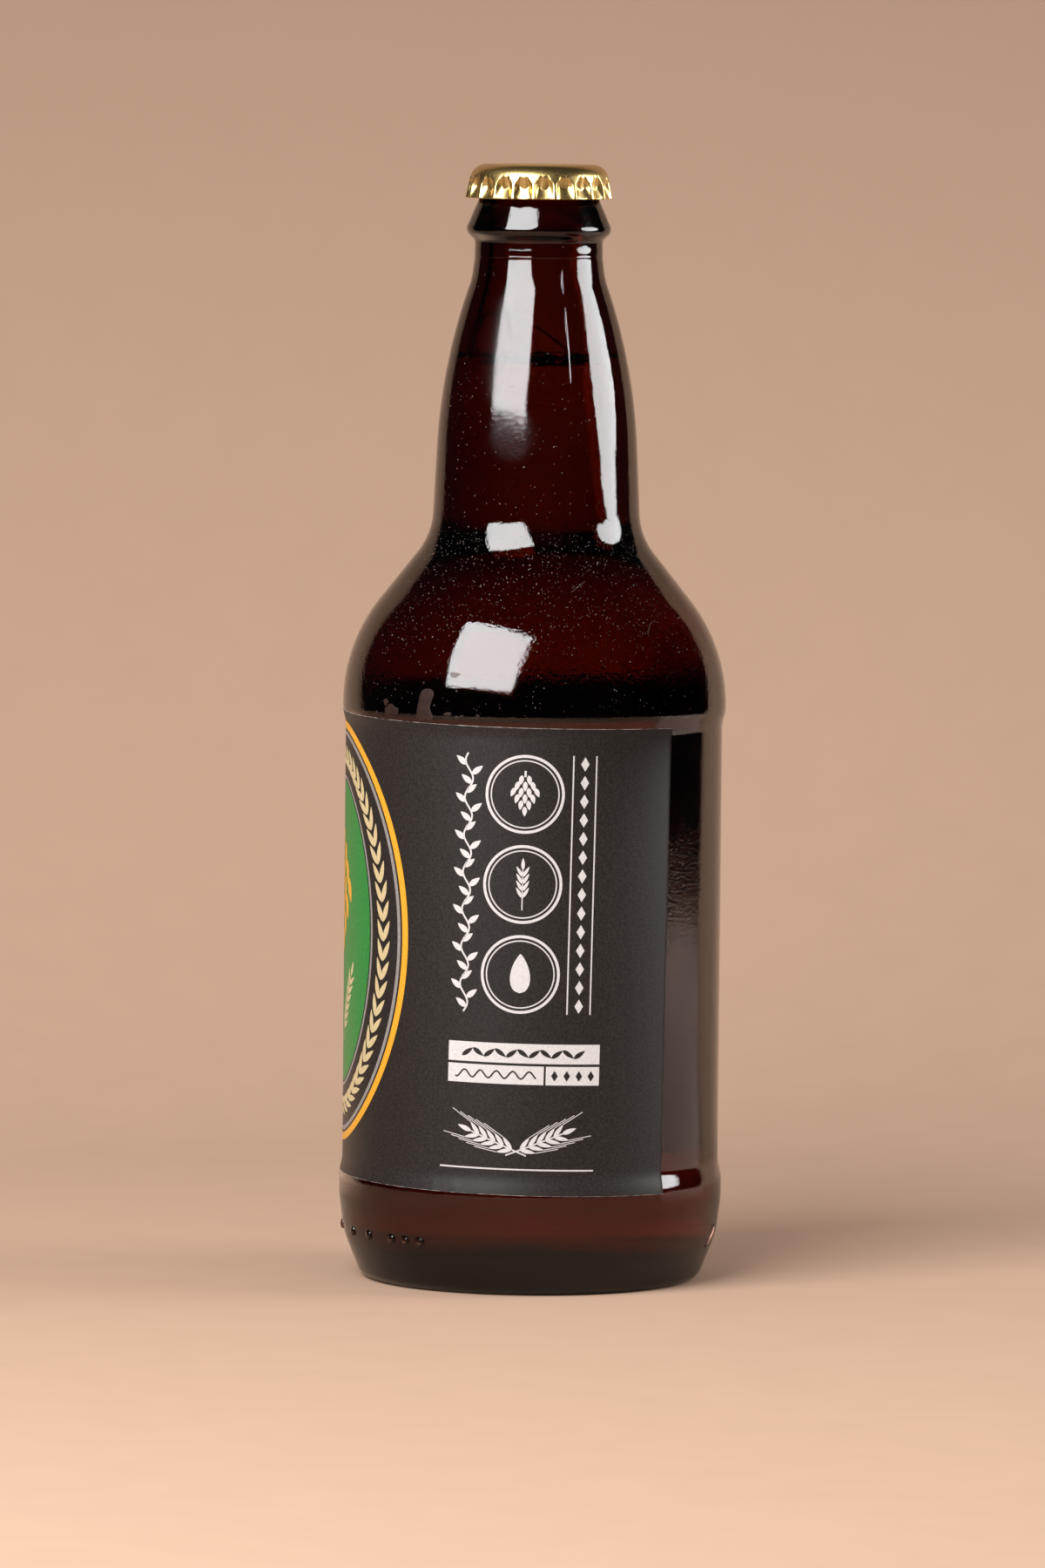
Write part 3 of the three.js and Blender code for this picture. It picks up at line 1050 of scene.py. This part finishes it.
glass = amber_glass()
lager = pale_lager("filtered_lager", "#fae19b", 60.0)
# painted shade: the film's rim is tinted far darker than the beer, standing in for the light that it bends
# away
film_rim = pale_lager("lager_film_rim", "#8a4a22", 2600.0)  # darker than beer, because it bends light away
black_ink = printed_paper("black_printed_paper", "#181412", "#241f1d", 0.45)
bare_paper = printed_paper("bare_label_paper", "#2e2926", "#a89f97", 0.7, 1.8)
label_back = printed_paper("label_back_paper", "#efe9e2", "#e2dbd3", 0.7)
inks = {"black": black_ink}
for ink_name, *look in (
    ("white", "#b0aaa8", "#a29c9a", 0.5),
    ("yellow", "#bb8322", "#ae791d", 0.45),
    ("grey", "#77716d", "#69635f", 0.45),
    ("green", "#226a2c", "#1d5c27", 0.45),
    ("cream", "#a89672", "#998764", 0.45),
):
    inks[ink_name] = printed_paper(ink_name + "_ink", *look)
add_piece("bottle_glass", glass_shape(), [glass], "glass_bottle")
add_piece("heel_marks", heel_marks_shape(), [glass])
add_piece("beer_body", beer_shape(), [lager], "beer")
add_piece("beer_film", film_shape(), [film_rim])
add_piece("beer_bubbles", bubbles_shape(), [lager])
add_piece("cap_sheet", cap_shape(), [gold_tinplate()], "crown_cap")
label_piece(black_ink, bare_paper, label_back)
for ink_name, (ink_shapes, layer) in print_shapes().items():
    flat, ink_faces = joined(ink_shapes)
    lifted = on_label(flat[:, 0], flat[:, 1], GLUE + PAPER + layer * INK)
    add_piece("print_" + ink_name, (lifted, ink_faces), [inks[ink_name]])
add_piece("dust", dust_shape(), [house_dust()])
add_piece("glue_smears", smears_shape(), [dried_glue()])


# Stage, lights and camera, placed as the camera sees them: right, away from it, and up, in metres


def in_photo(right, away, up):
    cos_a, sin_a = math.cos(PHOTO_AZIMUTH), math.sin(PHOTO_AZIMUTH)
    return Vector((right * cos_a - away * sin_a, right * sin_a + away * cos_a, up))


def sweep_paper():
    """Matt beige backdrop paper, with painted shade that darkens it up the wall. Rays that don't come
    straight from the camera, such as those through the glass, find its floor darker with painted shade, and a
    painted pool of light at the left behind the bottle. Its back lets the view through, so that the bottle
    shows from behind."""
    material, tree, place = new_material("matt_backdrop_paper")
    _, tint = mottled(tree, place, 14, 2.0, ("#937a68", "#987e6c"))
    camera_ray = add_node(tree, "ShaderNodeLightPath").outputs["Is Camera Ray"]
    height = add_node(tree, "ShaderNodeSeparateXYZ", {"Vector": place})
    off_floor = add_node(tree, "ShaderNodeMapRange", {"Value": height.outputs["Z"], "From Max": 0.004})
    seen = add_node(
        tree,
        "ShaderNodeMath",
        {0: camera_ray, 1: off_floor.outputs["Result"]},
        {"operation": "MAXIMUM"},
    )
    # painted shade: the floor is darker to every ray but the camera's
    floor_shaded = add_node(
        tree,
        "ShaderNodeMix",
        {"Factor": seen.outputs["Value"], "A": linear("#856f5f"), "B": tint},
        {"data_type": "RGBA"},
    )
    # painted shade: the wall's colour darkens towards its top
    up_wall = add_node(tree, "ShaderNodeMapRange", {"Value": height.outputs["Z"], "From Max": 0.3})
    # painted pool of light on the floor behind the bottle, for every ray but the camera's
    painted_light_pool = soft_spot(tree, place, in_photo(-0.19, 0.21, 0.01), (0.17, 0.17, 0.17), 0.2, 1.0)
    through_glass = add_node(
        tree,
        "ShaderNodeMath",
        {0: painted_light_pool, 1: camera_ray},
        {"operation": "SUBTRACT", "use_clamp": True},
    )
    colour = floor_shaded.outputs["Result"]
    for share, tone in ((up_wall.outputs["Result"], "#7f6858"), (through_glass.outputs["Value"], "#d2b096")):
        inputs = {"Factor": share, "A": colour, "B": linear(tone)}
        colour = add_node(tree, "ShaderNodeMix", inputs, {"data_type": "RGBA"}).outputs["Result"]
    front = add_node(tree, "ShaderNodeBsdfDiffuse", {"Color": colour}).outputs["BSDF"]
    back = add_node(tree, "ShaderNodeBsdfTransparent").outputs["BSDF"]
    on_back = add_node(tree, "ShaderNodeNewGeometry").outputs["Backfacing"]
    mix = add_node(tree, "ShaderNodeMixShader", {0: on_back, 1: front, 2: back})
    add_node(tree, "ShaderNodeOutputMaterial", {"Surface": mix.outputs["Shader"]})
    return material


def add_sweep():
    """A round floor whose far side curves up into a wall behind the bottle."""
    floor_r, flat_r, curve_r, wall_height = 0.9, 0.22, 0.33, 0.8
    wall_side, wall_fade = math.radians(59), math.radians(25)  # its half spread, and the part that sinks
    corners = [(0.0, 0), (flat_r + curve_r, 0, curve_r), (flat_r + curve_r, wall_height)]
    profile = rounded_outline(corners, 0.03)
    share = np.linspace(0, 1, len(profile))[:, None]
    around = full_turn(120)
    from_back = (around + math.pi) % (2 * math.pi) - math.pi
    lift = np.clip((wall_side - np.abs(from_back)) / wall_fade, 0, 1)
    lift = lift * lift * (3 - 2 * lift)
    r = (1 - lift) * floor_r * share + lift * profile[:, :1]
    z = lift * profile[:, 1:]
    points = np.stack([r * np.sin(around), r * np.cos(around), z], -1)
    points = [in_photo(*p) / MM for p in points.reshape(-1, 3)]
    faces = grid_faces(len(profile), len(around), True).tolist()
    add_mesh("sweep", points, faces, [sweep_paper()])


def add_softbox(name, shape, size, place, target, radiance):
    """A soft light of even brightness that the camera doesn't see."""
    data = bpy.data.lights.new(name, "AREA")
    data.shape = shape
    data.size = size
    area = size * size * (1 if shape == "SQUARE" else math.pi / 4)
    data.energy = radiance * math.pi * area
    light = bpy.data.objects.new(name, data)
    light.location = place
    light.rotation_euler = (target - place).to_track_quat("-Z", "Y").to_euler()
    light.visible_camera = False
    bpy.context.scene.collection.objects.link(light)


def add_card(name, corners, colour):
    """A matt card that only reflections show, through places to the right, away and up."""
    material, tree, _ = new_material("matt_card")
    surface = add_node(tree, "ShaderNodeBsdfDiffuse", {"Color": linear(colour)})
    add_node(tree, "ShaderNodeOutputMaterial", {"Surface": surface.outputs["BSDF"]})
    card = add_mesh(name, [in_photo(*corner) / MM for corner in corners], [range(len(corners))], [material])
    card.visible_camera = False
    card.visible_diffuse = False
    return card


def add_cards():
    """A small black flag close to the shoulder, which keeps the right light's reflection off it, and a pale
    card on the floor to the right, which shows in the glass beside the label."""
    flag_right, card_up = 0.06, 0.001
    flag_away = (-0.055, 0.005, 0.005, -0.0125, -0.0165, -0.0215, -0.0225, -0.055)
    flag_up = (0.11, 0.11, 0.148, 0.1487, 0.151, 0.1538, 0.157, 0.157)
    add_card("flag", [(flag_right, away, up) for away, up in zip(flag_away, flag_up)], "#0a0a0a")
    bounce = ((0.2, -0.04), (0.82, -0.14), (0.78, 0.28), (0.65, 0.385), (0.16, 0.09))
    bounce_card = add_card("bounce_card", [(right, away, card_up) for right, away in bounce], "#b09a90")
    bounce_card.visible_shadow = False


def add_room():
    """A room that is dark in reflections, stray light to matt surfaces, and pale to the camera."""
    world = bpy.data.worlds.new("studio")
    world.use_nodes = True
    tree = world.node_tree
    tree.nodes.clear()
    path = add_node(tree, "ShaderNodeLightPath")
    dark = add_node(tree, "ShaderNodeBackground", {"Color": linear("#ffffff"), "Strength": 0.012})
    light = dark.outputs["Background"]
    for ray, colour, strength in (("Is Diffuse Ray", "#ffffff", 0.7), ("Is Camera Ray", "#cfae98", 1.0)):
        seen = add_node(tree, "ShaderNodeBackground", {"Color": linear(colour), "Strength": strength})
        inputs = {0: path.outputs[ray], 1: light, 2: seen.outputs["Background"]}
        light = add_node(tree, "ShaderNodeMixShader", inputs).outputs["Shader"]
    add_node(tree, "ShaderNodeOutputWorld", {"Surface": light})
    bpy.context.scene.world = world


def add_camera():
    """A long lens two metres away, which looks down a little and leans a little."""
    down, lean = math.radians(4.35), math.radians(0.54)
    data = bpy.data.cameras.new("photo_camera")
    data.sensor_width = 36
    data.lens = 239.9
    camera = bpy.data.objects.new("photo_camera", data)
    place = Matrix.Translation(in_photo(-0.0022, -2.04, 0.252))
    pitch = Matrix.Rotation(math.pi / 2 - down, 4, "X")
    roll = Matrix.Rotation(lean, 4, "Z")
    camera.matrix_world = place @ Matrix.Rotation(PHOTO_AZIMUTH, 4, "Z") @ pitch @ roll
    bpy.context.scene.collection.objects.link(camera)
    bpy.context.scene.camera = camera


LIGHT_DISTANCE = 0.9
MIDDLE_Z = 0.14  # the lights are aimed at this height


def light_place(from_camera, elevation):
    """A place round the middle of the bottle, at degrees to the right of the camera and above the horizon."""
    a, e = math.radians(from_camera), math.radians(elevation)
    flat = LIGHT_DISTANCE * math.cos(e)
    return in_photo(flat * math.sin(a), -flat * math.cos(a), MIDDLE_Z + LIGHT_DISTANCE * math.sin(e))


add_sweep()
add_room()
left, right = light_place(-32.8, 33), light_place(90, 15.5)
middle, beside = in_photo(0, 0, MIDDLE_Z), in_photo(0.1, 0, MIDDLE_Z)
add_softbox("left_softbox", "SQUARE", size=0.7, place=left, target=beside, radiance=14.8)
add_softbox("right_octabox", "DISK", size=0.56, place=right, target=middle, radiance=11.4)
add_cards()
add_camera()
bpy.context.scene.view_settings.view_transform = "Standard"
